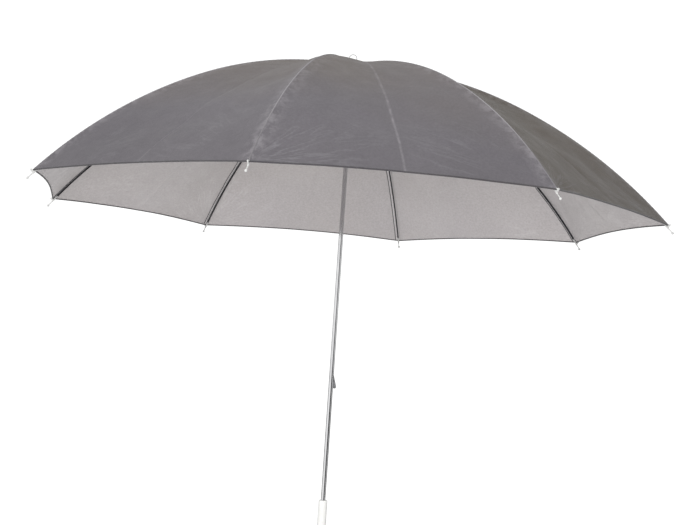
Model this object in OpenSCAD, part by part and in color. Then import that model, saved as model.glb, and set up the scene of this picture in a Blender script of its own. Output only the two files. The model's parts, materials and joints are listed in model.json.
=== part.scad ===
// Eight-rib folding umbrella on a slim tube shaft.
// Origin: centre of the lower end of the shaft's end sleeve. +Z runs up the shaft, +X towards rib 1.
// Each rib is worked out in the XZ plane, with X outwards and Z up, and then turned to its place.

/* [Canopy] */
// Radius of the open canopy, from the shaft to the cloth's corners at the ribs
open_r = 600; // [590:5:610]
// Radius at which the stretcher meets the rib, measured on the cloth's ridge
joint_r = 318; // [312:2:324]
// Slope of the cloth's ridge at that joint, in degrees below level
joint_slope = 25.5; // [25:0.25:26]
// Slope of the cloth's ridge at its corner, in degrees below level
rim_slope = 47.25; // [46.5:0.25:48]
// How high the middle of each hem stands above the corners
hem_rise = 6.3; // [4:0.1:10]
// How strongly a panel pulls in between its ribs
sag_gain = 0.21; // [0.15:0.01:0.25]
// Thickness of the cloth solid
cloth_t = 0.5; // [0.4:0.1:0.8]
// Gap between neighbouring pieces of cloth
cloth_gap = 0.4; // [0.2:0.1:1]

/* [Ribs and stretchers] */
// Width of a rib's channel
rib_w = 2.4; // [2.2:0.1:2.6]
// Height of a rib's channel
rib_h = 2.6; // [2.4:0.1:2.8]
// Wall of a rib's channel
rib_wall = 0.5; // [0.4:0.05:0.55]
// Distance from the cloth's top face down to the middle of the rib
rib_drop = 4; // [4:0.1:4.4]
// Width of a stretcher's channel
stretcher_w = 4; // [3.8:0.1:4.2]
// Height of a stretcher's channel
stretcher_h = 4; // [3.6:0.1:4.2]
// Wall of a stretcher's channel
stretcher_wall = 0.6; // [0.5:0.05:0.7]
// Radius of the rivet in each rib joint
rivet_r = 0.9; // [0.8:0.05:1]

/* [Shaft] */
// Outer diameter of the shaft tube
shaft_d = 8.5; // [8:0.1:9]
// Wall of the shaft tube
shaft_wall = 0.6; // [0.5:0.05:0.7]
// Length of the end sleeve
sleeve_len = 150; // [100:5:200]
// Outer diameter of the end sleeve
sleeve_d = 16.5; // [14:0.5:20]
// Distance from the top of the end sleeve up to the level of the cloth's corners
sleeve_to_rim = 547; // [500:5:600]

/* [Crown] */
// Radius of the circle that the ribs' inner ends turn on
crown_hinge_r = 11; // [10.8:0.1:11.4]
// Outer radius of the crown notch
notch_r = 13.5; // [13.3:0.1:14]
// Radius of the cap over the cloth
cap_r = 12; // [11:0.5:14]
// Outer radius of the wire loop on the cap
loop_r = 8.4; // [8:0.2:9]
// Height of the loop's half ring above the cap
loop_rise = 7.4; // [5:0.2:9]
// Diameter of the loop's wire
loop_wire_d = 1.6; // [1.4:0.1:1.8]

/* [Runner and catches] */
// Radius at which the folded umbrella holds its rib joints
folded_joint_r = 30; // [28:0.5:32]
// Outer radius of the runner's slotted collar
collar_r = 13; // [12.8:0.1:13.5]
// Outer radius of the runner's sleeve
runner_r = 6.2; // [6:0.1:6.4]
// Length of the runner's sleeve below its collar's middle
runner_tail = 30; // [26:1:32]
// Length of the runner's neck above its collar's middle
runner_neck = 12; // [11:0.5:12.5]
// How far a catch stands out of the shaft's surface
catch_out = 5.7; // [5:0.1:6]
// Length of a catch along the shaft
catch_len = 28; // [26:1:30]
// Direction in which the catches face, in degrees from rib 1
catch_azimuth = 112.5; // [67.5:45:157.5]

/* [Tips] */
// Diameter of the ball at a rib tip
ball_d = 4.5; // [4:0.1:5]
// Distance from the cloth's corner out to the ball's middle
ball_reach = 17.5; // [16:0.5:19]

/* [Hidden] */
RIBS = 8;
STEP = 360 / RIBS;
HALF = STEP / 2;
$fn = 48;
fit = 0.05;

// Cloth ridge: an inner arc from the crown to the joint, then a flatter outer arc to the corner.
inner_rho = joint_r / sin(joint_slope);
outer_rho = (open_r - joint_r) / (sin(rim_slope) - sin(joint_slope));
outer_drop = outer_rho * (cos(joint_slope) - cos(rim_slope));
inner_drop = inner_rho * (1 - cos(joint_slope));
rim_z = sleeve_len + sleeve_to_rim;
apex_z = rim_z + outer_drop + inner_drop;
inner_c = [0, apex_z - inner_rho];
outer_c = [joint_r - outer_rho * sin(joint_slope),
           rim_z + outer_drop - outer_rho * cos(joint_slope)];

// Rib centre lines share the arcs' centres.
inner_rib_rho = inner_rho - rib_drop;
outer_rib_rho = outer_rho - rib_drop;
crown_slope = asin(crown_hinge_r / inner_rib_rho);
function inner_rib_pt(a) = inner_c + inner_rib_rho * [sin(a), cos(a)];
function outer_rib_pt(a) = outer_c + outer_rib_rho * [sin(a), cos(a)];
crown_pt = inner_rib_pt(crown_slope);
joint_pt = inner_rib_pt(joint_slope);
tip_pt = outer_rib_pt(rim_slope);

// The stretcher is as long as the inner rib, so the two close like a pair of equal links.
stretcher_len = norm(joint_pt - crown_pt);
runner_z = 2 * joint_pt[1] - crown_pt[1];
stretcher_slope = atan2(joint_pt[1] - runner_z, joint_pt[0] - crown_pt[0]);
fold_dz = sqrt(pow(stretcher_len, 2) - pow(folded_joint_r - crown_hinge_r, 2));
runner_travel = runner_z - (crown_pt[1] - 2 * fold_dz);

shaft_r = shaft_d / 2;
shaft_bore_r = shaft_r - shaft_wall;
shaft_foot = 5;
slot_w = 1.8;
eye_t = 1;
rib_eye_r = 2.1;
rib_bar_h = 2.2;
fork_clear = 5;
runner_eye_r = 1.8;
runner_eye_t = 1.2;
rib_pin_r = 0.8;
rib_pin_len = 10;
wire_r = 0.6;

notch_top = apex_z - 1.1;
collar_floor = crown_pt[1] - 3.4;
notch_bottom = collar_floor - 6.5;
notch_core_r = 7.5;
slot_floor_r = 8.6;
crown_pin_z = (collar_floor + notch_bottom) / 2;
crown_pin_r = 0.75;

cap_z = apex_z + 0.5;
cap_h = 6;
cap_roof = 3;
loop_z = cap_z + cap_h + loop_rise;
loop_leg = loop_rise + 2;

catch_t = 1.6;
catch_pin_r = 0.6;
bottom_catch_z = runner_z - runner_travel + runner_neck + 0.5;
top_catch_z = runner_z - runner_tail - 0.4;

// ---------- helpers ----------

// Turns children from the XZ plane to rib i, where rib 1 lies along +X.
module at_rib(i) {
    rotate([0, 0, (i - 1) * STEP]) children();
}

// Places children at an XZ point with their own X axis at an angle above level.
module at_pt(p, angle) {
    translate([p[0], 0, p[1]]) rotate([0, -angle, 0]) children();
}

// A cylinder along the local Y axis, centred on it.
module cross_cylinder(r, len) {
    rotate([90, 0, 0]) cylinder(r = r, h = len, center = true);
}

module vertical_ring(r, wire) {
    rotate_extrude($fn = 72) translate([r, 0]) circle(r = wire, $fn = 24);
}

// A flat plate along local X that starts in a round eye.
module eye_bar(len, h, t, eye, hole) {
    difference() {
        union() {
            cross_cylinder(eye, t);
            translate([0, -t / 2, -h / 2]) cube([len, t, h]);
        }
        cross_cylinder(hole, t + 2);
    }
}

// Cross-section of a channel that opens downwards, with X as the outward side of the arc.
module channel_section(w, h, wall) {
    polygon([
        [-h / 2, -w / 2], [h / 2, -w / 2], [h / 2, w / 2], [-h / 2, w / 2],
        [-h / 2, w / 2 - wall], [h / 2 - wall, w / 2 - wall],
        [h / 2 - wall, wall - w / 2], [-h / 2, wall - w / 2]
    ]);
}

// A channel bent along an arc about an XZ centre, between two slope angles.
module arc_channel(centre, rho, a_from, a_to) {
    translate([centre[0], 0, centre[1]])
        rotate([90, 0, 0])
            rotate([0, 0, 90 - a_to])
                rotate_extrude(angle = a_to - a_from, $fn = 720)
                    translate([rho, 0]) channel_section(rib_w, rib_h, rib_wall);
}

// ---------- canopy cloth ----------

function ridge(a) = a <= joint_slope
    ? inner_c + inner_rho * [sin(a), cos(a)]
    : outer_c + outer_rho * [sin(a), cos(a)];

// How far the middle of a panel pulls in from the straight line between two ribs.
function sag_at(r) = sag_gain * r * (1 - r / open_r);

// Share of that sag at a distance t from the panel's middle, where t is 1 at the rib.
function sag_share(t) = 1 - t * t;

// A point of the cloth at slope angle a and at phi degrees from the rib.
function cloth_pt(a, phi) =
    let (p = ridge(a), t = 1 - abs(phi) / HALF)
    let (chord = p[0] * cos(HALF) / cos(HALF - abs(phi)))
    let (r = chord - sag_at(p[0]) * sag_share(t))
    [r * cos(phi), r * sin(phi), p[1]];

// Slope angle at which the hem lies: the hem rises towards the middle of each panel.
function hem_slope(phi) =
    let (t = 1 - abs(phi) / HALF)
    acos(cos(rim_slope) + hem_rise * (1 - t * t) / outer_rho);

// A closed sheet over rows of slope angles and columns of azimuths about one rib.
module cloth_sheet(rows, cols, outer) {
    a0 = outer ? joint_slope + cloth_gap / outer_rho * 57.3 : asin(8 / inner_rho);
    a1 = joint_slope;
    half_gap = cloth_gap / 2;
    top = [for (i = [0:rows], j = [0:cols])
        let (phi = (2 * j / cols - 1) * HALF)
        let (a_end = outer ? hem_slope(phi) : a1)
        let (p = cloth_pt(a0 + (a_end - a0) * i / rows, phi))
        let (shift = half_gap * (1 - 2 * j / cols))
        [p[0], p[1] + shift, p[2]]];
    n = len(top);
    pts = concat(top, [for (p = top) p - [0, 0, cloth_t]]);
    w = cols + 1;
    top_faces = [for (i = [0:rows - 1], j = [0:cols - 1])
        let (k = i * w + j) each [[k, k + 1, k + w + 1], [k, k + w + 1, k + w]]];
    low_faces = [for (f = top_faces) [f[0] + n, f[2] + n, f[1] + n]];
    rim = concat(
        [for (j = [0:cols - 1]) j],
        [for (i = [0:rows - 1]) i * w + cols],
        [for (j = [0:cols - 1]) rows * w + cols - j],
        [for (i = [0:rows - 1]) (rows - i) * w]);
    m = len(rim);
    side_faces = [for (k = [0:m - 1])
        let (p = rim[k], q = rim[(k + 1) % m]) each [[q, p, p + n], [q, p + n, q + n]]];
    polyhedron(points = pts, faces = concat(top_faces, low_faces, side_faces), convexity = 4);
}

module cloth_inner(i) {
    color([0.48, 0.47, 0.48]) at_rib(i) cloth_sheet(8, 8, false);
}

module cloth_outer(i) {
    color([0.46, 0.45, 0.47]) at_rib(i) cloth_sheet(8, 8, true);
}

// ---------- ribs ----------

module rib_inner(i) {
    bar = 12;
    gap_deg = 8 / inner_rib_rho * 57.3;
    end_deg = fork_clear / inner_rib_rho * 57.3;
    color([0.22, 0.22, 0.23]) at_rib(i) {
        arc_channel(inner_c, inner_rib_rho, crown_slope + gap_deg, joint_slope - end_deg);
        at_pt(crown_pt, -crown_slope - 0.5) eye_bar(bar, rib_bar_h, eye_t, 2, wire_r + fit);
        at_pt(joint_pt, 180 - joint_slope + 0.4)
            eye_bar(bar, rib_bar_h, eye_t, rib_eye_r, rivet_r + fit);
    }
}

// The two cheeks of a fork, as one ring with its middle cut away.
module fork_cheeks(w, wall, eye) {
    for (side = [-1, 1]) translate([0, side * (w - wall) / 2, 0]) cross_cylinder(eye, wall);
}

module rib_outer(i) {
    web_gap = 3.2;
    end_deg = rib_pin_len / outer_rib_rho * 57.3;
    inside_w = rib_w - 2 * rib_wall;
    color([0.22, 0.22, 0.23]) at_rib(i) difference() {
        union() {
            arc_channel(outer_c, outer_rib_rho, joint_slope, rim_slope - end_deg);
            at_pt(joint_pt, -joint_slope) fork_cheeks(rib_w, rib_wall, rib_eye_r);
            at_pt(tip_pt, -rim_slope + 0.3) translate([-rib_pin_len - 4, 0, 0])
                rotate([0, 90, 0]) cylinder(r = rib_pin_r, h = rib_pin_len + 4);
        }
        at_pt(joint_pt, -joint_slope) {
            translate([-web_gap, -inside_w / 2, -3]) cube([2 * web_gap, inside_w, 6]);
            cross_cylinder(rivet_r + fit, rib_w + 2);
        }
    }
}

// White end of a rib: a socket over the rib's pin, a neck, a ball, and a tab that the cloth is sewn to.
module rib_tip(i) {
    socket_from = -rib_pin_len + 0.2;
    socket_to = 5.5;
    socket_r = 1.6;
    neck_r = 0.9;
    tab_x = 3.2;
    tab_w = 3.4;
    tab_h = 6.1;
    color([0.93, 0.93, 0.91]) at_rib(i) at_pt(tip_pt, -rim_slope + 0.3) difference() {
        union() {
            rotate([0, 90, 0]) rotate_extrude() polygon([
                [0, socket_from], [socket_r, socket_from], [socket_r, socket_to],
                [neck_r, socket_to + 2.5], [neck_r, ball_reach], [0, ball_reach]
            ]);
            translate([ball_reach, 0, 0]) sphere(d = ball_d);
            translate([tab_x - tab_w / 2, -0.8, 0]) cube([tab_w, 1.6, tab_h]);
            translate([tab_x, 0, tab_h]) cross_cylinder(tab_w / 2, 1.6);
        }
        translate([socket_from - 1, 0, 0]) rotate([0, 90, 0])
            cylinder(r = rib_pin_r + fit, h = rib_pin_len + 1.3);
        translate([tab_x, 0, tab_h - 0.1]) cross_cylinder(0.65, 4);
    }
}

// ---------- stretchers ----------

// Straight channel that opens upwards, riveted over the rib and ending in a flat eye at the runner.
module stretcher(i) {
    web_gap = 18;
    channel_end = 9;
    inside_w = stretcher_w - 2 * stretcher_wall;
    eye = 2.3;
    len = stretcher_len - channel_end;
    color([0.25, 0.25, 0.26]) at_rib(i) at_pt(joint_pt, 180 + stretcher_slope) mirror([0, 0, 1]) {
        difference() {
            union() {
                translate([0, -stretcher_w / 2, -stretcher_h / 2])
                    cube([len, stretcher_w, stretcher_h]);
                fork_cheeks(stretcher_w, stretcher_wall, eye);
            }
            translate([-4, -inside_w / 2, -stretcher_h / 2 + stretcher_wall])
                cube([len + 8, inside_w, stretcher_h + 2]);
            translate([-4, -inside_w / 2, -stretcher_h]) cube([web_gap + 4, inside_w, stretcher_h]);
        }
        cross_cylinder(rivet_r, stretcher_w + 1);
        for (side = [-1, 1]) translate([0, side * (stretcher_w / 2 + 0.2), 0])
            cross_cylinder(1.7, 0.6);
        translate([stretcher_len, 0, 0]) rotate([0, 0, 180])
            eye_bar(channel_end + 4, 2 * runner_eye_r, runner_eye_t, runner_eye_r, 0.8);
    }
}

// ---------- shaft ----------

module catch_place(z, flip) {
    rotate([0, 0, catch_azimuth]) translate([0, 0, z]) mirror([0, 0, flip ? 1 : 0]) children();
}

// Wedge that turns on a pin in the tube, with its blunt end at local z = 0 and its thin end above.
catch_pivot = [1.4, catch_len - 1];
module spring_catch() {
    rotate([90, 0, 0]) difference() {
        linear_extrude(height = catch_t, center = true) polygon([
            [3.2, 0.6], [shaft_r + catch_out - 2.4, 0], [shaft_r + catch_out - 1.1, 0.5],
            [shaft_r + catch_out - 0.3, 1.6], [shaft_r + catch_out, 3.2],
            [shaft_r + catch_out - 0.2, 5.2], [shaft_r + catch_out - 1, 8],
            [shaft_r + catch_out / 2, 14.5], [shaft_r, catch_len - 3],
            [2.6, catch_len + 0.6], [0.4, catch_len + 0.6], [0.2, catch_len - 2.4]
        ]);
        translate([catch_pivot[0], catch_pivot[1], 0])
            cylinder(r = catch_pin_r + fit, h = catch_t + 2, center = true);
    }
}

module catch_slot() {
    translate([0, -slot_w / 2, -2]) cube([shaft_d, slot_w, catch_len + 1]);
}

module catch_pin_at(r) {
    translate([catch_pivot[0], 0, catch_pivot[1]]) cross_cylinder(r, 2 * shaft_r - 0.8);
}

module shaft_tube() {
    color([0.78, 0.78, 0.8]) difference() {
        translate([0, 0, shaft_foot]) cylinder(r = shaft_r, h = cap_z + cap_h - cap_roof - shaft_foot - 0.1);
        translate([0, 0, shaft_foot - 1]) cylinder(r = shaft_bore_r, h = apex_z + 10);
        catch_place(bottom_catch_z, false) {
            catch_slot();
            catch_pin_at(catch_pin_r);
        }
        catch_place(top_catch_z, true) {
            catch_slot();
            catch_pin_at(catch_pin_r);
        }
        translate([0, 0, crown_pin_z]) rotate([0, 0, HALF]) cross_cylinder(crown_pin_r, 20);
    }
}

module catch_pins() {
    color([0.6, 0.6, 0.62]) {
        catch_place(bottom_catch_z, false) catch_pin_at(catch_pin_r);
        catch_place(top_catch_z, true) catch_pin_at(catch_pin_r);
    }
}

module bottom_catch() {
    color([0.5, 0.5, 0.52]) catch_place(bottom_catch_z, false) spring_catch();
}

module top_catch() {
    color([0.5, 0.5, 0.52]) catch_place(top_catch_z, true) spring_catch();
}

module end_sleeve() {
    chamfer = 0.8;
    plug_seat = 3;
    color([0.95, 0.95, 0.94]) difference() {
        union() {
            cylinder(r = sleeve_d / 2, h = sleeve_len - chamfer);
            translate([0, 0, sleeve_len - chamfer])
                cylinder(r1 = sleeve_d / 2, r2 = sleeve_d / 2 - chamfer, h = chamfer);
        }
        translate([0, 0, -1]) cylinder(r = shaft_r + fit, h = sleeve_len + 2);
        translate([0, 0, -1]) cylinder(r = 6.5, h = plug_seat + 1);
    }
}

module end_plug() {
    color([0.9, 0.9, 0.89]) {
        cylinder(r = 6.5 - fit, h = 3 - fit);
        translate([0, 0, 2]) cylinder(r = shaft_bore_r - fit, h = 14);
    }
}

// ---------- runner ----------

// Slit sleeve with a collar. Eight slots take the stretcher eyes, and the slit passes the catches.
module runner() {
    collar_h = 10;
    slit_w = 3.4;
    tail_flange_r = 8.2;
    lip = 2;
    color([0.2, 0.2, 0.21]) translate([0, 0, runner_z]) difference() {
        union() {
            translate([0, 0, -runner_tail]) cylinder(r = runner_r, h = runner_tail + runner_neck);
            translate([0, 0, -collar_h / 2]) cylinder(r = collar_r, h = collar_h);
            translate([0, 0, -runner_tail]) cylinder(r = tail_flange_r, h = lip);
            translate([0, 0, -runner_tail + lip])
                cylinder(r1 = tail_flange_r, r2 = runner_r, h = lip);
        }
        translate([0, 0, -runner_tail - 1])
            cylinder(r = shaft_r + fit, h = runner_tail + runner_neck + 2);
        for (i = [1:RIBS]) at_rib(i)
            translate([slot_floor_r, -1, -collar_h]) cube([collar_r, 2, 2 * collar_h]);
        rotate([0, 0, catch_azimuth]) translate([0, -slit_w / 2, -runner_tail - 1])
            cube([collar_r + 2, slit_w, runner_tail + runner_neck + 2]);
    }
}

// ---------- crown ----------

// Core pinned to the shaft, with a slotted collar that the rib ends and their wire sit in.
module crown_notch() {
    color([0.25, 0.25, 0.26]) difference() {
        union() {
            translate([0, 0, notch_bottom]) cylinder(r = notch_core_r, h = notch_top - notch_bottom);
            translate([0, 0, collar_floor]) cylinder(r = notch_r, h = notch_top - collar_floor);
        }
        translate([0, 0, notch_bottom - 1]) cylinder(r = shaft_r + fit, h = 30);
        for (i = [1:RIBS]) at_rib(i)
            translate([slot_floor_r, -slot_w / 2, collar_floor - 1]) cube([notch_r, slot_w, 20]);
        translate([0, 0, crown_pt[1]]) vertical_ring(crown_hinge_r, wire_r + fit);
        translate([0, 0, crown_pin_z]) rotate([0, 0, HALF]) cross_cylinder(crown_pin_r, 20);
    }
}

module crown_pin() {
    color([0.6, 0.6, 0.62]) translate([0, 0, crown_pin_z]) rotate([0, 0, HALF])
        cross_cylinder(crown_pin_r, 2 * notch_core_r - 0.4);
}

module crown_wire() {
    color([0.6, 0.6, 0.62]) translate([0, 0, crown_pt[1]]) vertical_ring(crown_hinge_r, wire_r);
}

module top_cap() {
    edge = 2.5;
    color([0.75, 0.75, 0.74]) translate([0, 0, cap_z]) difference() {
        union() {
            cylinder(r = cap_r, h = cap_h - edge);
            translate([0, 0, cap_h - edge]) cylinder(r1 = cap_r, r2 = cap_r - edge, h = edge);
        }
        translate([0, 0, -1]) cylinder(r = shaft_r + fit, h = cap_h - cap_roof + 1);
        for (side = [-1, 1])
            translate([0, side * (loop_r - loop_wire_d / 2), loop_z - cap_z - loop_leg])
                cylinder(r = loop_wire_d / 2 + fit, h = 10);
    }
}

// Half ring of wire whose two legs, a hair thinner, stand in the cap.
module top_loop() {
    rho = loop_r - loop_wire_d / 2;
    color([0.88, 0.88, 0.88]) translate([0, 0, loop_z]) {
        rotate([90, 0, 90]) rotate_extrude(angle = 180, $fn = 72)
            translate([rho, 0]) circle(d = loop_wire_d, $fn = 24);
        for (side = [-1, 1]) translate([0, side * rho, -loop_leg])
            cylinder(d = loop_wire_d - 0.06, h = loop_leg + 0.3, $fn = 24);
    }
}

shaft_tube();
end_sleeve();
end_plug();
catch_pins();
top_catch();
bottom_catch();
runner();
crown_notch();
crown_pin();
crown_wire();
top_cap();
top_loop();
for (i = [1:RIBS]) rib_inner(i);
for (i = [1:RIBS]) rib_outer(i);
for (i = [1:RIBS]) stretcher(i);
for (i = [1:RIBS]) rib_tip(i);
for (i = [1:RIBS]) cloth_inner(i);
for (i = [1:RIBS]) cloth_outer(i);
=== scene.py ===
"""Looks of an eight-rib umbrella: grey cloth with a silver-grey underside, dark ribs,
a bright shaft and pale rib tips."""
import json
import math

import bpy
import numpy as np
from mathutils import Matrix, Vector


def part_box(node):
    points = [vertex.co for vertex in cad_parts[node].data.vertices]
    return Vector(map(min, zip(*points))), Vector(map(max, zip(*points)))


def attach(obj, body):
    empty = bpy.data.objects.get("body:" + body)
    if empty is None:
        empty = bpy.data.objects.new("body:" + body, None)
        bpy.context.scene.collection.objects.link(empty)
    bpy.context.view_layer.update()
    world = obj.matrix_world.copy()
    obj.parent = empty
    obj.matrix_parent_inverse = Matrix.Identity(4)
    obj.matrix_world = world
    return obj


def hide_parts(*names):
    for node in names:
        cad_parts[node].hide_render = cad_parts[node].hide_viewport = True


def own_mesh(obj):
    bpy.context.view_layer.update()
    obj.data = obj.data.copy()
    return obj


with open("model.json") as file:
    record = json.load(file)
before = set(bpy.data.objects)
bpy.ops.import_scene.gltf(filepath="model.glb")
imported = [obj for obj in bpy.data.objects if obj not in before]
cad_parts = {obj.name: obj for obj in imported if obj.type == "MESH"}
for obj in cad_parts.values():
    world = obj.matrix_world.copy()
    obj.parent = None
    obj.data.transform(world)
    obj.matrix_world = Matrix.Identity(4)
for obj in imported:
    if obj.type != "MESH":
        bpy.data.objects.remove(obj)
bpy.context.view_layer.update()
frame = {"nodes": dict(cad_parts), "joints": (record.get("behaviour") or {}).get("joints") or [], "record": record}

# ---------- sizes shared with the CAD model, in metres and radians ----------

RIBS = 8
STEP = 2 * math.pi / RIBS
HALF = STEP / 2
OPEN_R = 0.600
JOINT_R = 0.318
JOINT_SLOPE = math.radians(25.5)
RIM_SLOPE = math.radians(47.25)
HEM_RISE = 0.0063
SAG_GAIN = 0.21
SLEEVE_TO_RIM = 0.547
CLOTH_EYE_R = 0.008

JOINTS = {j["name"]: j for j in frame["joints"]}
CROWN_HINGE_R = Vector(JOINTS["rib_fold_1"]["pos_m"]).xy.length
RIM_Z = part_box("end_sleeve")[1].z + SLEEVE_TO_RIM
RUNNER_HINGE_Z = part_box("runner")[1].z - 0.012

INNER_RHO = JOINT_R / math.sin(JOINT_SLOPE)
OUTER_RHO = (OPEN_R - JOINT_R) / (math.sin(RIM_SLOPE) - math.sin(JOINT_SLOPE))
JOINT_Z = RIM_Z + OUTER_RHO * (math.cos(JOINT_SLOPE) - math.cos(RIM_SLOPE))
CROWN_Z = JOINT_Z + INNER_RHO * (1 - math.cos(JOINT_SLOPE))
INNER_ARC = INNER_RHO * JOINT_SLOPE
RIDGE_LEN = INNER_ARC + OUTER_RHO * (RIM_SLOPE - JOINT_SLOPE)

# ---------- the cloth: each panel runs from one rib to the next ----------

CLOTH_T = 0.0004
HEM_FOLD = 0.007
HEM_FOLD_T = 0.0004
PIPING_R = 0.0014
PIPING_SIDES = 8
PIPING_PAST_EDGE = 0.6
BEAD_R = 0.0011
BEAD_SIDES = 10
BEAD_SUNK = 0.45
BEAD_SWELL = 0.10
STITCH = 0.009
SEAM_EDGE_R = 0.0009
SEAM_EDGE_SIDES = 6
# The seam allowance under the cloth: two layers, and the places of their edges and creases on each side
# of the rib. It is wider on one side.
TAPE_LAYERS = (CLOTH_T + 0.00015, CLOTH_T + 0.00065)
TAPE_COLUMNS = ((-1, 0.0030), (-1, 0.0012), (1, 0.0), (1, 0.0012), (1, 0.004), (1, 0.007))
TAPE_SHARE_MAX = 0.3
SEAM_SHORT_OF_RIM = 0.0005
# How light each panel in view is painted: painted shade that stands in for the light each one gets, the darkest
# also tinted warm. The others take a random tone.
PANEL_SHADES = {1: 1.0, 2: 0.66, 8: 0.98}
CREASED_PANELS = (1, 4, 6)


def arc_point(a, centre_r, centre_z, rho):
    return centre_r + rho * np.sin(a), centre_z + rho * np.cos(a)


def ridge(a):
    """Radius and height of the cloth's ridge over a rib, at slope angle a."""
    inner = arc_point(a, 0, CROWN_Z - INNER_RHO, INNER_RHO)
    outer = arc_point(a, JOINT_R - OUTER_RHO * math.sin(JOINT_SLOPE),
                      JOINT_Z - OUTER_RHO * math.cos(JOINT_SLOPE), OUTER_RHO)
    near = a <= JOINT_SLOPE
    return np.where(near, inner[0], outer[0]), np.where(near, inner[1], outer[1])


def ridge_length(a):
    """Length along the ridge from the crown to slope angle a."""
    return np.where(a <= JOINT_SLOPE, INNER_RHO * a, INNER_ARC + OUTER_RHO * (a - JOINT_SLOPE))


def hem_slope(w):
    """Slope angle of the hem at w across a panel, from 0 at one rib to 1 at the next."""
    t = np.abs(2 * w - 1)
    return np.arccos(math.cos(RIM_SLOPE) + HEM_RISE * (1 - t * t) / OUTER_RHO)


def plain_cloth(panel, a, w):
    """The smooth surface of a panel: a ridge on each rib, pulled in between them."""
    r, z = ridge(a)
    from_mid = np.abs(w - 0.5) * STEP
    t = np.abs(2 * w - 1)
    sag = SAG_GAIN * r * (1 - r / OPEN_R)
    radius = r * math.cos(HALF) / np.cos(from_mid) - sag * (1 - t * t)
    azimuth = (panel - 1 + w) * STEP
    return np.stack([radius * np.cos(azimuth), radius * np.sin(azimuth), z], -1), radius


def cross_normal(surface, a, w):
    """Outward unit normals of surface(a, w), from small steps either way."""
    da, dw = 1e-3, 2e-3
    along = surface(a + da, w) - surface(a - da, w)
    low, high = np.maximum(w - dw, 0), np.minimum(w + dw, 1)
    across = surface(a, high) - surface(a, low)
    n = np.cross(along, across)
    return n / np.linalg.norm(n, axis=-1, keepdims=True)


class PanelWrinkles:
    """Waves, creases, puckers and pull lines of one panel, as a height over its smooth surface.
    A point is given by s, its distance from the crown along the ridge, and w, its share of the way across."""

    SEED = 40
    PHASES = 6.3
    WAVES, WAVE_H, LONG_WAVE = 9, 0.0012, 18
    CREASE_H, CREASE_W, CREASE_WANDER, CREASE_STARTS = 0.0014, 0.005, 0.0012, 0.08
    FOLD_H, FOLD_W, FOLD_REACH = 0.0008, 0.012, 0.13
    FAN_H, FAN_REACH, FAN_ANGLE = 0.0030, 0.1, 0.55
    PUCKER_H, PUCKER_PITCH, PUCKER_REACH = 0.0005, 0.040, 0.016
    GATHER_H, GATHERS, GATHER_REACH = 0.0012, 3, 0.035
    SEAM_HOLD = 0.012
    HEM_HOLD, HEM_REACH = 0.85, 0.03

    def __init__(self, panel):
        rng = np.random.default_rng(self.SEED + panel)
        self.waves = [(rng.uniform(0, math.pi), rng.uniform(16, 75), rng.uniform(0, self.PHASES),
                       rng.uniform(0.35, 1.0)) for _ in range(self.WAVES)]
        self.fans = [(rng.uniform(9, 13), rng.uniform(0, self.PHASES), rng.uniform(0.7, 1.2))
                     for _ in range(2)]
        self.phase = rng.uniform(0, self.PHASES, 6)
        self.pressed = 1.0 if panel in CREASED_PANELS else 0.35
        # the painted shade listed for a panel in view, a random tone for the others
        self.tone = PANEL_SHADES.get(panel, rng.uniform(0.9, 1.0))
        self.cross_folds = [(rng.uniform(0.2, 0.34), rng.uniform(-0.2, 0.2), 0.8),
                            (rng.uniform(0.42, 0.56), rng.uniform(-0.2, 0.2), -0.9)]

    def wave_height(self, x, s):
        h = np.zeros_like(s)
        for angle, k, phase, size in self.waves:
            along = x * math.cos(angle) + s * math.sin(angle)
            h += self.WAVE_H * size * (self.LONG_WAVE / k) ** 0.6 * np.sin(k * along + phase)
        return h

    def crease_depth(self, x, s):
        """The crease down the middle, where the folded panel was pressed."""
        wander = self.CREASE_WANDER * np.sin(s * 23 + self.phase[0])
        depth = self.CREASE_H + 0.0005 * np.sin(s * 31 + self.phase[1])
        return depth * np.exp(-np.abs(x - wander) / self.CREASE_W) * np.clip(s / self.CREASE_STARTS, 0, 1)

    def fan_heights(self, s, w, width):
        """Pull lines that fan out from the corners, one height for each corner."""
        for side, (count, phase, size) in enumerate(self.fans):
            across = w * width if side == 0 else (1 - w) * width
            out = np.maximum(RIDGE_LEN - s, 1e-5)
            dist = np.hypot(across, out)
            angle = np.arctan2(across, out)
            fan = np.sin(angle * count + phase) * np.exp(-angle / self.FAN_ANGLE)
            starts = np.clip((dist - 0.025) / 0.04, 0, 1)
            yield self.FAN_H * size * fan * np.exp(-dist / self.FAN_REACH) * starts

    def height(self, radius, a, w):
        s = ridge_length(a)
        width = radius * STEP
        x = (w - 0.5) * width
        from_rib = np.minimum(w, 1 - w) * width
        h = self.wave_height(x, s)
        h -= self.crease_depth(x, s)
        for at, slant, sign in self.cross_folds:
            d = s - at - slant * x
            h += sign * self.FOLD_H * np.exp(-(d / self.FOLD_W) ** 2) * np.exp(-(x / self.FOLD_REACH) ** 2)
        for fan in self.fan_heights(s, w, width):
            h += fan
        pucker = np.sin(s * 2 * math.pi / self.PUCKER_PITCH + 1.8 * np.sin(s * 37 + self.phase[2]))
        h += self.PUCKER_H * pucker * np.exp(-from_rib / self.PUCKER_REACH)
        gather = np.sin(w * 2 * math.pi * self.GATHERS + self.phase[3])
        h += self.GATHER_H * np.exp(-s / self.GATHER_REACH) * gather
        # the seams and the piped hem hold the cloth taut
        free = 1 - np.exp(-(from_rib / self.SEAM_HOLD) ** 2)
        from_hem = ridge_length(hem_slope(w)) - s
        return h * free * (1 - self.HEM_HOLD * np.exp(-np.maximum(from_hem, 0) / self.HEM_REACH))


WRINKLES = {k: PanelWrinkles(k) for k in range(1, RIBS + 1)}


def wrinkled_cloth(panel, a, w):
    plain, radius = plain_cloth(panel, a, w)
    n = cross_normal(lambda p, q: plain_cloth(panel, p, q)[0], a, w)
    return plain + n * WRINKLES[panel].height(radius, a, w)[..., None]


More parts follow.
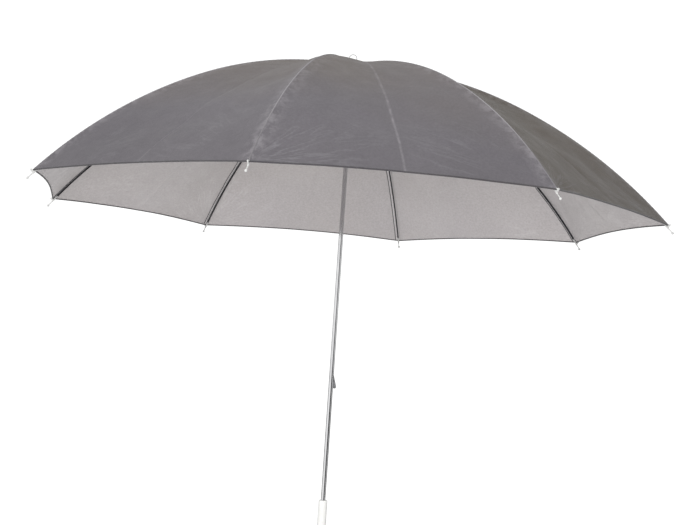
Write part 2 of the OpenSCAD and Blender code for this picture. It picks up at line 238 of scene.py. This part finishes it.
def cloth_and_normal(panel, a, w):
    surface = lambda p, q: wrinkled_cloth(panel, p, q)
    return surface(a, w), cross_normal(surface, a, w)


# ---------- mesh helpers ----------

def slab_faces(rows, cols, start, flip):
    """Quads of a closed thin slab made of two (rows + 1) x (cols + 1) grids of vertices, one after the other.
    They come as the upper grid, the lower grid and the rim between them."""
    layer = (rows + 1) * (cols + 1)
    corners = [start + i * (cols + 1) + j for i in range(rows) for j in range(cols)]
    upper = [(k, k + 1, k + cols + 2, k + cols + 1) for k in corners]
    lower = [tuple(v + layer for v in quad[::-1]) for quad in upper]
    edge = ([(0, j) for j in range(cols)] + [(i, cols) for i in range(rows)]
            + [(rows, cols - j) for j in range(cols)] + [(rows - i, 0) for i in range(rows)])
    ids = [start + i * (cols + 1) + j for i, j in edge]
    rim = [(q, p, p + layer, q + layer) for p, q in zip(ids, ids[1:] + ids[:1])]
    return [[quad[::-1] if flip else quad for quad in part] for part in (upper, lower, rim)]


def new_object(name, verts, faces, materials, face_slots=None, uvs=None, normals=None):
    mesh = bpy.data.meshes.new(name)
    mesh.from_pydata([tuple(v) for v in verts], [], faces)
    for m in materials:
        mesh.materials.append(m)
    mesh.polygons.foreach_set("use_smooth", [True] * len(mesh.polygons))
    if face_slots is not None:
        mesh.polygons.foreach_set("material_index", face_slots)
    index = np.empty(len(mesh.loops), int)
    mesh.loops.foreach_get("vertex_index", index)
    for layer_name, values in (uvs or {}).items():
        layer = mesh.uv_layers.new(name=layer_name)
        layer.data.foreach_set("uv", np.asarray(values, np.float32)[index].ravel())
    mesh.update()
    if normals is not None:
        mesh.normals_split_custom_set_from_vertices([tuple(n) for n in normals])
    obj = bpy.data.objects.new(name, mesh)
    bpy.context.scene.collection.objects.link(obj)
    return obj


def tube(points, radius, sides=8, closed=False, up=(0, 0, 1)):
    """Vertices and faces of a round tube along points, closed into a ring or capped at its ends."""
    pts = np.asarray(points, float)
    n = len(pts)
    nxt = np.roll(pts, -1, 0) if closed else np.vstack([pts[1:], 2 * pts[-1] - pts[-2]])
    prv = np.roll(pts, 1, 0) if closed else np.vstack([2 * pts[0] - pts[1], pts[:-1]])
    tangent = nxt - prv
    tangent /= np.linalg.norm(tangent, axis=1, keepdims=True)
    side = np.cross(tangent, np.asarray(up, float))
    bad = np.linalg.norm(side, axis=1) < 1e-6
    side[bad] = np.cross(tangent[bad], (1.0, 0.0, 0.0))
    side /= np.linalg.norm(side, axis=1, keepdims=True)
    top = np.cross(side, tangent)
    turn = np.arange(sides) * 2 * math.pi / sides
    rad = np.broadcast_to(np.asarray(radius, float), (n,))
    spokes = side[:, None] * np.cos(turn)[None, :, None] + top[:, None] * np.sin(turn)[None, :, None]
    verts = (pts[:, None] + rad[:, None, None] * spokes).reshape(-1, 3)
    faces = []
    for i in range(n if closed else n - 1):
        for j in range(sides):
            a, b = i * sides + j, i * sides + (j + 1) % sides
            c, d = ((i + 1) % n) * sides + j, ((i + 1) % n) * sides + (j + 1) % sides
            faces.append((a, c, d, b))
    if not closed:
        faces.append(tuple(range(sides)))
        faces.append(tuple((n - 1) * sides + j for j in range(sides))[::-1])
    return verts, faces


# ---------- materials ----------

class Tree:
    """A small wrapper that makes and joins the nodes of one tree."""

    def __init__(self, tree):
        self.tree = tree

    def add(self, kind, inputs=(), **settings):
        node = self.tree.nodes.new(kind)
        for key, value in settings.items():
            setattr(node, key, value)
        for key, value in dict(inputs).items():
            if isinstance(value, bpy.types.NodeSocket):
                self.tree.links.new(value, node.inputs[key])
            else:
                node.inputs[key].default_value = value
        return node

    def span(self, value, low, high, to_low, to_high, kind="LINEAR"):
        return self.add("ShaderNodeMapRange", {"Value": value, "From Min": low, "From Max": high,
                                               "To Min": to_low, "To Max": to_high},
                        interpolation_type=kind).outputs["Result"]

    def math(self, operation, a, b=0.0):
        return self.add("ShaderNodeMath", {0: a, 1: b}, operation=operation).outputs[0]


class Nodes(Tree):
    """The nodes of one material, around its Principled BSDF."""

    def __init__(self, name, **principled):
        self.material = bpy.data.materials.new(name)
        self.material.use_nodes = True
        super().__init__(self.material.node_tree)
        self.bsdf = self.tree.nodes["Principled BSDF"]
        for key, value in principled.items():
            self.bsdf.inputs[key.replace("_", " ")].default_value = value
        self.place = self.tree.nodes.new("ShaderNodeTexCoord").outputs["Object"]

    def noise(self, scale, detail=3.0, roughness=0.5, vector=None):
        return self.add("ShaderNodeTexNoise", {"Vector": vector or self.place, "Scale": scale,
                                               "Detail": detail, "Roughness": roughness}).outputs["Fac"]

    def stretched(self, scale):
        """The place in the object, scaled along each axis."""
        return self.add("ShaderNodeMapping", {"Vector": self.place, "Scale": scale}).outputs["Vector"]

    def mix(self, fac, a, b):
        node = self.add("ShaderNodeMix", {"Factor": fac}, data_type="RGBA")
        for key, value in ((6, a), (7, b)):
            if isinstance(value, bpy.types.NodeSocket):
                self.tree.links.new(value, node.inputs[key])
            else:
                node.inputs[key].default_value = (*value, 1)
        return node.outputs[2]

    def scale(self, vector, factor):
        node = self.add("ShaderNodeVectorMath", {0: vector, "Scale": factor}, operation="SCALE")
        return node.outputs["Vector"]

    def uv(self, layer):
        return self.add("ShaderNodeUVMap", uv_map=layer).outputs["UV"]

    def split(self, vector):
        return self.add("ShaderNodeSeparateXYZ", {0: vector}).outputs[:2]

    def to(self, name, socket):
        self.tree.links.new(socket, self.bsdf.inputs[name])

    def bump(self, height, strength, distance):
        """Adds a bump over the ones there are."""
        node = self.add("ShaderNodeBump", {"Height": height, "Strength": strength, "Distance": distance})
        if self.bsdf.inputs["Normal"].is_linked:
            self.tree.links.new(self.bsdf.inputs["Normal"].links[0].from_socket, node.inputs["Normal"])
        self.to("Normal", node.outputs["Normal"])


def woven(m, pitch):
    """Height of a plain weave of that pitch, in metres, over the piece's own UVs."""
    radians_per_unit = 20
    inputs = {"Vector": m.uv("cloth"), "Scale": 2 * math.pi / pitch / radians_per_unit}
    warp, weft = (m.add("ShaderNodeTexWave", inputs, bands_direction=way).outputs["Fac"] for way in "XY")
    return m.math("MAXIMUM", warp, weft)


def pull_lines(m, from_rib, from_crown):
    """Thin creases that run out from the cloth's corners in patches, from 0 to 1."""
    out = m.math("SUBTRACT", RIDGE_LEN, from_crown)
    angle = m.math("ARCTAN2", from_rib, out)
    squares = m.math("MULTIPLY", out, out), m.math("MULTIPLY", from_rib, from_rib)
    reach = m.math("SQRT", m.math("ADD", *squares))
    fan = m.add("ShaderNodeCombineXYZ", {0: m.math("MULTIPLY", angle, 5.0),
                                         1: m.math("MULTIPLY", reach, 9.0)}).outputs[0]
    drift = m.scale(m.place, 2.5)
    vector = m.add("ShaderNodeVectorMath", {0: fan, 1: drift}, operation="ADD").outputs[0]
    swell = m.math("SUBTRACT", m.noise(1.0, 3.0, 0.55, vector=vector), 0.5)
    line = m.span(m.math("ABSOLUTE", swell), 0.0, 0.035, 1, 0)
    patch = m.span(m.noise(7, 2.0, 0.5), 0.45, 0.6, 0, 1)
    return m.math("MULTIPLY", m.math("MULTIPLY", line, patch), m.span(reach, 0.04, 0.24, 1, 0))


def crease_line_and_sheen(m, from_rib, from_crown, from_crease):
    """A pale line down the panel's pressed crease, and a painted highlight in patches along its ribs, from 0 to 1.
    """
    patchy = m.span(m.noise(70, 4.0, 0.65), 0.42, 0.62, 0, 1)
    broken = m.span(patchy, 0, 1, 0.35, 1)
    crease = m.math("MULTIPLY", m.span(from_crease, 0.0005, 0.0030, 0.42, 0), broken)
    rib_sheen = m.math("MULTIPLY", m.span(from_rib, 0.0, 0.022, 0.4, 0), patchy)
    rib_sheen = m.math("MULTIPLY", rib_sheen, m.span(from_crown, 0.1, 0.25, 0.2, 1))
    return m.math("MAXIMUM", crease, rib_sheen)


def cloth_material(name, dark, light, warm, weave, sheen, roughness, worn_and_sheen=None, crease_highlight=None):
    """Plain-woven cloth with soft tone drift and slubs. A crease_highlight colour paints pull lines at its
    corners, a painted highlight on their wrinkles, which are also bumped.
    A worn_and_sheen colour also paints a pale crease line and a painted highlight along the ribs, scales each
    panel by its tone (a painted shade for the panels in view, warmer the darker it is, as painted warm light), and
    darkens a band near the hem."""
    m = Nodes(name, Roughness=roughness, Sheen_Weight=sheen, Sheen_Roughness=0.5, Specular_IOR_Level=0.2)
    base = m.mix(m.span(m.noise(5.0, 4.0), 0.3, 0.7, 0, 1), dark, light)
    tint = m.span(m.noise(2.2, 2.0), 0.35, 0.65, 0, 0.5)
    threads = m.span(m.noise(60, 2.0, vector=m.stretched((1, 1, 14))), 0.4, 0.62, 0, 0.2)
    if crease_highlight:
        from_rib, from_crown = m.split(m.uv("cloth"))
    if worn_and_sheen:
        from_crease, tone = m.split(m.uv("crease"))
        tint = m.math("ADD", tint, m.span(from_crown, 0.15, 0.62, 0.45, -0.35))
        # painted warm light: the darker a panel's tone, the warmer its tint
        tint = m.math("ADD", tint, m.span(tone, 0.66, 0.95, 1.2, 0))
    base = m.mix(threads, m.mix(tint, base, warm), light)
    if worn_and_sheen:
        # darker towards the hem, and painted shade: the colour is scaled by the panel's tone, listed for the
        # panels in view
        base = m.scale(m.scale(base, m.span(from_crown, 0.45, 0.66, 1, 0.85)), tone)
        # a pale line on the pressed crease, and a painted highlight in patches along the ribs
        base = m.mix(crease_line_and_sheen(m, from_rib, from_crown, from_crease), base, worn_and_sheen)
    if crease_highlight:
        lines = pull_lines(m, from_rib, from_crown)
        # painted highlight on the pull lines
        base = m.mix(m.math("MULTIPLY", lines, 0.5), base, crease_highlight)
        m.bump(lines, 0.4, 0.0008)
    grain = m.span(m.noise(230, 3.0, 0.7), 0.3, 0.7, 0.90, 1.10)
    m.to("Base Color", m.scale(base, grain))
    m.to("Roughness", m.span(m.noise(30, 3.0), 0.3, 0.7, roughness - 0.07, roughness + 0.07))
    m.bump(woven(m, weave), 0.25, 0.00012)
    m.bump(m.noise(85, 4.0, 0.6), 0.22, 0.0012)
    m.bump(m.noise(16, 3.0, 0.5), 0.5, 0.004)
    return m.material


def painted_steel():
    m = Nodes("rib_paint", Metallic=0.55, Roughness=0.42)
    worn_and_sheen = m.span(m.noise(240, 5.0, 0.7), 0.56, 0.72, 0, 0.6)
    tone = m.mix(m.span(m.noise(18, 2.0), 0.3, 0.7, 0, 1), (0.022, 0.022, 0.026), (0.04, 0.04, 0.044))
    m.to("Base Color", m.mix(worn_and_sheen, tone, (0.13, 0.13, 0.135)))
    m.to("Roughness", m.span(m.noise(120, 3.0), 0.3, 0.7, 0.34, 0.52))
    m.bump(m.noise(900, 3.0), 0.15, 0.0002)
    return m.material


def chrome_tube():
    m = Nodes("shaft_chrome", Metallic=1.0, Roughness=0.14)
    drawn = m.noise(2600, 3.0, 0.6, vector=m.stretched((1, 1, 0.002)))
    smudge = m.noise(22, 4.0, 0.6)
    m.to("Base Color", m.mix(m.span(smudge, 0.4, 0.7, 0, 1), (0.70, 0.70, 0.71), (0.58, 0.58, 0.59)))
    m.to("Roughness", m.span(smudge, 0.35, 0.7, 0.08, 0.16))
    m.bump(drawn, 0.02, 0.0001)
    return m.material


def bare_steel():
    m = Nodes("spring_steel", Metallic=1.0, Roughness=0.35)
    tone = m.span(m.noise(160, 4.0), 0.35, 0.7, 0, 1)
    m.to("Base Color", m.mix(tone, (0.46, 0.46, 0.47), (0.3, 0.3, 0.31)))
    m.to("Roughness", m.span(tone, 0, 1, 0.28, 0.48))
    m.bump(m.noise(1500, 2.0), 0.2, 0.0001)
    return m.material


def moulded_plastic(name, light, dark, roughness, coat=0.0):
    """Moulded plastic with a fine grain, faint handling marks and slightly worn tone."""
    m = Nodes(name, Roughness=roughness, Specular_IOR_Level=0.3, Coat_Weight=coat)
    marks = m.span(m.noise(35, 5.0, 0.65), 0.45, 0.75, 0, 1)
    m.to("Base Color", m.mix(marks, light, dark))
    m.to("Roughness", m.span(m.noise(140, 3.0), 0.3, 0.7, roughness - 0.06, roughness + 0.1))
    m.bump(m.noise(1400, 2.0), 0.16, 0.00015)
    return m.material


def thread_material(name, colour, pale, sheen=0.3, worn_and_sheen=None):
    """Twisted sewing thread. A worn_and_sheen colour, a painted highlight, takes over between the crown and the
    rim.
    """
    m = Nodes(name, Roughness=0.75, Sheen_Weight=sheen)
    ply = m.add("ShaderNodeTexWave", {"Vector": m.place, "Scale": 420.0, "Distortion": 2.0},
                bands_direction="DIAGONAL").outputs["Fac"]
    base = m.mix(ply, colour, pale)
    if worn_and_sheen:
        from_crown = m.split(m.uv("cloth"))[1]
        below_crown, above_rim = m.span(from_crown, 0.12, 0.3, 0, 1), m.span(from_crown, 0.5, 0.62, 1, 0.35)
        # painted highlight: paler between the crown and the rim
        base = m.mix(m.math("MULTIPLY", below_crown, above_rim), base, worn_and_sheen)
    m.to("Base Color", base)
    m.bump(ply, 0.4, 0.0001)
    return m.material


# the outer face: worn_and_sheen paints a pale crease line and a highlight along the ribs, crease_highlight a
# highlight on the pull lines
OUTER_CLOTH = cloth_material("cloth_outer_face", (0.071, 0.066, 0.073), (0.084, 0.078, 0.086),
                             (0.088, 0.0745, 0.0615), 0.0005, 0.03, 0.72,
                             worn_and_sheen=(0.19, 0.18, 0.19), crease_highlight=(0.12, 0.116, 0.124))
# the silver face: crease_highlight paints a highlight on its pull lines
UNDER_CLOTH = cloth_material("cloth_silver_face", (0.284, 0.267, 0.271), (0.324, 0.306, 0.310),
                             (0.312, 0.290, 0.277), 0.0005, 0.03, 0.5, crease_highlight=(0.40, 0.38, 0.385))
PIPING = cloth_material("hem_piping", (0.026, 0.024, 0.027), (0.040, 0.038, 0.041),
                        (0.035, 0.032, 0.031), 0.0004, 0.1, 0.8)
SEAM_TAPE = cloth_material("seam_tape", (0.36, 0.34, 0.345), (0.43, 0.41, 0.415),
                           (0.40, 0.38, 0.37), 0.0005, 0.03, 0.55)
SEAM_EDGE = thread_material("seam_overlock", (0.022, 0.021, 0.024), (0.045, 0.043, 0.047))
# painted highlight: the bead is paler between the crown and the rim
SEAM_BEAD = thread_material("seam_stitching", (0.050, 0.047, 0.051), (0.072, 0.068, 0.073), 0.02,
                            worn_and_sheen=(0.155, 0.148, 0.156))
TIP_THREAD = thread_material("tip_thread", (0.32, 0.32, 0.31), (0.42, 0.42, 0.41))
RIB_PAINT = painted_steel()
STEEL = bare_steel()
WHITE = moulded_plastic("white_plastic", (0.46, 0.46, 0.45), (0.40, 0.40, 0.39), 0.36)
# painted shade: the rib tips are the white plastic, darkened so they read grey against the white backdrop
TIP = moulded_plastic("tip_plastic", (0.31, 0.31, 0.305), (0.26, 0.26, 0.255), 0.36)
DARK = moulded_plastic("dark_plastic", (0.03, 0.03, 0.032), (0.05, 0.05, 0.052), 0.45)
CAP = moulded_plastic("cap_plastic", (0.50, 0.50, 0.49), (0.42, 0.42, 0.41), 0.4)
LOOP = moulded_plastic("loop_plastic", (0.30, 0.30, 0.30), (0.24, 0.24, 0.24), 0.25, 0.1)
SLOT_MATERIALS = {"chrome": chrome_tube(), "white_plastic": WHITE, "spring_steel": STEEL,
                  "dark_plastic": DARK, "pale_plastic": CAP, "loop_wire": LOOP, "rib_steel": RIB_PAINT,
                  "cloth": OUTER_CLOTH}


def dress_cad_nodes():
    """Gives each carried-over CAD node the material of its record slot, and the rib tips a darker copy of the
    white plastic, painted shade so they read grey.
    """
    slots = {s["node"]: s["material_slot"] for s in frame["record"]["subparts"]}
    for name, obj in frame["nodes"].items():
        obj.data.materials.clear()
        obj.data.materials.append(TIP if name.startswith("rib_tip") else SLOT_MATERIALS[slots[name]])


# ---------- canopy pieces ----------

# Rows along each half gore, inside and outside the rib's joint, and columns across it.
ROWS = {"inner": 34, "outer": 40}
COLS = 22
# The first slope is that of the cloth's inner edge, round its eye at the crown.
FIRST_SLOPE = math.asin(CLOTH_EYE_R / INNER_RHO)


def rib_directions(rib):
    """Unit vectors outwards along a rib and across it."""
    azimuth = (rib - 1) * STEP
    return (math.cos(azimuth), math.sin(azimuth), 0), (-math.sin(azimuth), math.cos(azimuth), 0)


def panel_beside(rib, side):
    """The number of the panel on one side of a rib."""
    return rib if side > 0 else (rib - 2) % RIBS + 1


def gore_grid(side, part):
    """Slope angles and shares of the way across a panel, for each point of a half gore."""
    share = np.linspace(0, 0.5, COLS + 1)
    w = np.broadcast_to(share if side > 0 else 1 - share, (ROWS[part] + 1, COLS + 1))
    step = np.linspace(0, 1, ROWS[part] + 1)[:, None]
    if part == "inner":
        a = FIRST_SLOPE + (JOINT_SLOPE - FIRST_SLOPE) * step + 0 * w
    else:
        a = JOINT_SLOPE + (hem_slope(w) - JOINT_SLOPE) * step ** 0.9
    return a, w


def hem_line(top, under):
    """The middle of the piping, just past the cloth's last row."""
    down = (top[-1] - top[-2]) / np.linalg.norm(top[-1] - top[-2], axis=-1, keepdims=True)
    return (top[-1] + under[-1]) / 2 + down * PIPING_R * PIPING_PAST_EDGE


def half_gore(rib, side, part):
    """The cloth on one side of a rib, above or below its joint, with its hem where it has one."""
    panel = panel_beside(rib, side)
    wrinkles = WRINKLES[panel]
    a, w = gore_grid(side, part)
    top, normal = cloth_and_normal(panel, a, w)
    from_hem = ridge_length(hem_slope(w)) - ridge_length(a)
    folded = (from_hem < HEM_FOLD) if part == "outer" else np.zeros_like(a, bool)
    thick = CLOTH_T + HEM_FOLD_T * folded
    under = top - normal * thick[..., None]
    verts = np.vstack([top.reshape(-1, 3), under.reshape(-1, 3)])
    normals = np.vstack([normal.reshape(-1, 3), -normal.reshape(-1, 3)])
    upper, lower, rim = slab_faces(ROWS[part], COLS, 0, side > 0)
    faces = upper + lower + rim
    slots = [0] * len(upper) + [1] * len(lower) + [0] * len(rim)
    reach = STEP * np.hypot(top[..., 0], top[..., 1])
    from_crown = ridge_length(a) + 0 * w
    from_rib, from_crease = np.minimum(w, 1 - w) * reach, np.abs(w - 0.5) * reach
    # the panel's painted shade or random tone, carried in the crease layer's second coordinate
    tone = np.full_like(a, wrinkles.tone)
    uvs = {name: np.stack(pair, -1).reshape(-1, 2) for name, pair in (
        ("cloth", (from_rib, from_crown)), ("crease", (from_crease / wrinkles.pressed, tone)))}
    hem_uvs = {name: np.repeat(uv[-(COLS + 1):], PIPING_SIDES, 0) for name, uv in uvs.items()}
    uvs = {name: np.vstack([uv, uv]) for name, uv in uvs.items()}
    if part == "outer":
        hem = hem_line(top, under)
        pipe_verts, pipe_faces = tube(hem, PIPING_R, PIPING_SIDES)
        faces += [tuple(len(verts) + k for k in f) for f in pipe_faces]
        slots += [2] * len(pipe_faces)
        verts = np.vstack([verts, pipe_verts])
        pipe_normals = pipe_verts - np.repeat(hem, PIPING_SIDES, 0)
        normals = np.vstack([normals, pipe_normals / np.linalg.norm(pipe_normals, axis=1, keepdims=True)])
        uvs = {name: np.vstack([uv, hem_uvs[name]]) for name, uv in uvs.items()}
    hand = "left" if side > 0 else "right"
    obj = new_object(f"cloth_{part}_{rib}_{hand}", verts, faces, [OUTER_CLOTH, UNDER_CLOTH, PIPING],
                     slots, uvs, normals)
    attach(obj, f"rib_{part}_{rib}")
    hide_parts(f"cloth_{part}_{rib}")
    fold_cloth(obj)


def fold_cloth(obj):
    """Gives the half gore its own mesh."""
    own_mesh(obj)


def seam_tape(rib, a, normal):
    """Two grids of points for the doubled allowance under the cloth."""
    r = ridge(a)[0]
    layers = []
    for gap in TAPE_LAYERS:
        columns = []
        for side, reach in TAPE_COLUMNS:
            shift = np.minimum(reach / (r * STEP), TAPE_SHARE_MAX)
            p, n = cloth_and_normal(panel_beside(rib, side), a, shift if side > 0 else 1 - shift)
            columns.append(p - (normal if reach == 0 else n) * gap)
        layers.append(np.stack(columns, 1))
    return layers


def seam(rib, part):
    """The sewn seam over a rib: a stitched bead outside, and the doubled allowance under the cloth."""
    rows, cols = ROWS[part] * 3, len(TAPE_COLUMNS) - 1
    ends = (FIRST_SLOPE, JOINT_SLOPE) if part == "inner" else (JOINT_SLOPE, RIM_SLOPE - SEAM_SHORT_OF_RIM)
    a = np.linspace(*ends, rows + 1)
    out, over = rib_directions(rib)
    across = np.cross(out, (0, 0, 1))
    r, z = ridge(a)
    line = r[:, None] * np.array(out) + np.stack([0 * z, 0 * z, z], -1)
    normal = np.sin(a)[:, None] * np.array(out) + np.stack([0 * a, 0 * a, np.cos(a)], -1)
    s = ridge_length(a)
    bead = BEAD_R * (1 + BEAD_SWELL * np.sin(s * 2 * math.pi / STITCH))
    verts, faces = tube(line - normal * BEAD_R * BEAD_SUNK, bead, BEAD_SIDES, up=across)
    slots = [0] * len(faces)
    layers = seam_tape(rib, a, normal)
    tape = sum(slab_faces(rows, cols, len(verts), True), [])
    faces += tape
    slots += [1] * len(tape)
    verts = np.vstack([verts, layers[0].reshape(-1, 3), layers[1].reshape(-1, 3)])
    # the allowance's overlocked edge, in dark thread
    edge_verts, edge_faces = tube(layers[1][:, -1], SEAM_EDGE_R, SEAM_EDGE_SIDES, up=across)
    faces += [tuple(len(verts) + k for k in f) for f in edge_faces]
    slots += [2] * len(edge_faces)
    verts = np.vstack([verts, edge_verts])
    uvs = np.zeros((len(verts), 2))
    uvs[:, 0] = verts @ across
    uvs[:, 1] = np.concatenate([np.repeat(s, BEAD_SIDES), np.tile(np.repeat(s, cols + 1), 2),
                                np.repeat(s, SEAM_EDGE_SIDES)])
    obj = new_object(f"seam_{part}_{rib}", verts, faces, [SEAM_BEAD, SEAM_TAPE, SEAM_EDGE], slots,
                     {"cloth": uvs})
    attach(obj, f"rib_{part}_{rib}")
    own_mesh(obj)


# ---------- thread and wire ----------

THREAD_R, THREAD_SIDES = 0.0003, 6
THREAD_TURNS, THREAD_STEPS = 3, 18
THREAD_HALF_W, THREAD_SPREAD = 0.0012, 0.0006
# How far the loop of thread reaches from the cloth's corner, along the rib and square to it.
THREAD_IN_CLOTH = (0.0012, 0.0002)
THREAD_IN_TAB = (0.0032, 0.0020)
WIRE_R, WIRE_SIDES, WIRE_STEPS = 0.0006, 10, 96


def tip_thread(rib):
    """Thread through the cloth's corner and the hole in the rib tip's tab, wound three times."""
    out, over = map(Vector, rib_directions(rib))
    down = out * math.cos(RIM_SLOPE) - Vector((0, 0, math.sin(RIM_SLOPE)))
    lift = out * math.sin(RIM_SLOPE) + Vector((0, 0, math.cos(RIM_SLOPE)))
    corner = out * OPEN_R + Vector((0, 0, RIM_Z))
    in_cloth = corner - down * THREAD_IN_CLOTH[0] - lift * THREAD_IN_CLOTH[1]
    in_tab = corner + down * THREAD_IN_TAB[0] + lift * THREAD_IN_TAB[1]
    centre, half = (in_cloth + in_tab) / 2, (in_tab - in_cloth) / 2
    steps = THREAD_TURNS * THREAD_STEPS
    points = []
    for k in range(steps + 1):
        angle = 2 * math.pi * k / THREAD_STEPS
        spread = lift * THREAD_SPREAD * (k / steps - 0.5)
        points.append(centre + half * math.cos(angle) + over * THREAD_HALF_W * math.sin(angle) + spread)
    verts, faces = tube([tuple(p) for p in points], THREAD_R, THREAD_SIDES, up=tuple(over))
    obj = new_object(f"tip_thread_{rib}", verts, faces, [TIP_THREAD])
    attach(obj, f"rib_outer_{rib}")


def runner_wire():
    """Wire in the runner's collar that the stretcher eyes hook on."""
    turns = [2 * math.pi * k / WIRE_STEPS for k in range(WIRE_STEPS)]
    ring = [(CROWN_HINGE_R * math.cos(t), CROWN_HINGE_R * math.sin(t), RUNNER_HINGE_Z) for t in turns]
    verts, faces = tube(ring, WIRE_R, WIRE_SIDES, closed=True)
    obj = new_object("runner_wire", verts, faces, [STEEL])
    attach(obj, "runner")


# ---------- stage, light and camera ----------

CAMERA_FROM_RIM = Vector((3.7168, 0.8796, -0.4050)) * OPEN_R
CAMERA_TURN = (math.radians(93.626), math.radians(-3.830), math.radians(102.559))
CAMERA_LENS = 62.19
FLOOR_R = 1.9
DIM_SIDES = (math.radians(45), math.radians(135), math.radians(240))
DIM_ABOVE = 0.2
DIM_BELOW = 0.03
SKY = 1.12


def floor():
    """A round pale sheet. The bright metal doesn't pick it up, so its streaks run down to the floor."""
    m = Nodes("floor_paper", Roughness=0.85)
    m.to("Base Color", m.mix(m.noise(3.0, 3.0), (0.97, 0.97, 0.97), (0.985, 0.985, 0.985)))
    m.bump(m.noise(300, 2.0), 0.05, 0.0005)
    turns = [math.radians(a) for a in range(0, 360, 3)]
    rim = [(FLOOR_R * math.cos(turn), FLOOR_R * math.sin(turn), 0) for turn in turns]
    obj = new_object("floor", rim, [tuple(range(len(rim)))], [m.material])
    obj.visible_glossy = False


def area_light(name, spot, aim, size, power):
    light = bpy.data.lights.new(name, "AREA")
    light.shape = "DISK"
    light.size = size
    light.energy = power
    obj = bpy.data.objects.new(name, light)
    bpy.context.scene.collection.objects.link(obj)
    obj.location = spot
    obj.rotation_euler = (Vector(aim) - Vector(spot)).to_track_quat("-Z", "Y").to_euler()
    obj.visible_glossy = False


def studio_world():
    """A plain white backdrop. The light on the object also has dim sides near the horizon, dimmer and wider
    below it, which the bright metal picks up as dark streaks."""
    world = bpy.data.worlds.new("studio")
    world.use_nodes = True
    sky = Tree(world.node_tree)

    def toward(direction):
        node = sky.add("ShaderNodeVectorMath", {0: place, 1: direction}, operation="DOT_PRODUCT")
        return node.outputs["Value"]

    def step(value, low, high, to_low, to_high):
        return sky.span(value, low, high, to_low, to_high, "SMOOTHSTEP")

    def mix(factor, a, b):
        return sky.add("ShaderNodeMix", {"Factor": factor, "A": a, "B": b}).outputs["Result"]

    place = sky.add("ShaderNodeTexCoord").outputs["Generated"]
    height = toward((0, 0, 1))
    below = step(height, -0.07, 0.02, 1, 0)
    strength = SKY
    for azimuth in DIM_SIDES:
        near = toward((math.cos(azimuth), math.sin(azimuth), 0))
        side = mix(below, step(near, 0.88, 0.95, 1, DIM_ABOVE), step(near, 0.80, 0.90, 1, DIM_BELOW))
        side = mix(step(sky.math("ABSOLUTE", height), 0.14, 0.24, 0, 1), side, 1)
        strength = sky.math("MULTIPLY", side, strength)
    backdrop = sky.add("ShaderNodeLightPath").outputs["Is Camera Ray"]
    background = sky.tree.nodes["Background"]
    sky.tree.links.new(mix(backdrop, strength, SKY), background.inputs["Strength"])
    background.inputs["Color"].default_value = (1, 1, 1, 1)
    return world


def light_and_camera():
    scene = bpy.context.scene
    scene.view_settings.view_transform = "Standard"
    scene.world = studio_world()
    area_light("key", (3.7, 0.0, 1.4), (0, 0, RIM_Z + 0.1), 1.4, 105)
    area_light("low_fill", (3.4, 0.6, 0.3), (-0.3, 0, RIM_Z + 0.1), 1.2, 90)
    camera = bpy.data.objects.new("camera", bpy.data.cameras.new("camera"))
    scene.collection.objects.link(camera)
    camera.data.sensor_fit = "HORIZONTAL"
    camera.data.sensor_width = 36
    camera.data.lens = CAMERA_LENS
    camera.location = Vector((0, 0, RIM_Z)) + CAMERA_FROM_RIM
    camera.rotation_euler = CAMERA_TURN
    scene.camera = camera


light_and_camera()
floor()
dress_cad_nodes()
for rib in range(1, RIBS + 1):
    for part in ("inner", "outer"):
        for side in (1, -1):
            half_gore(rib, side, part)
        seam(rib, part)
    tip_thread(rib)
runner_wire()
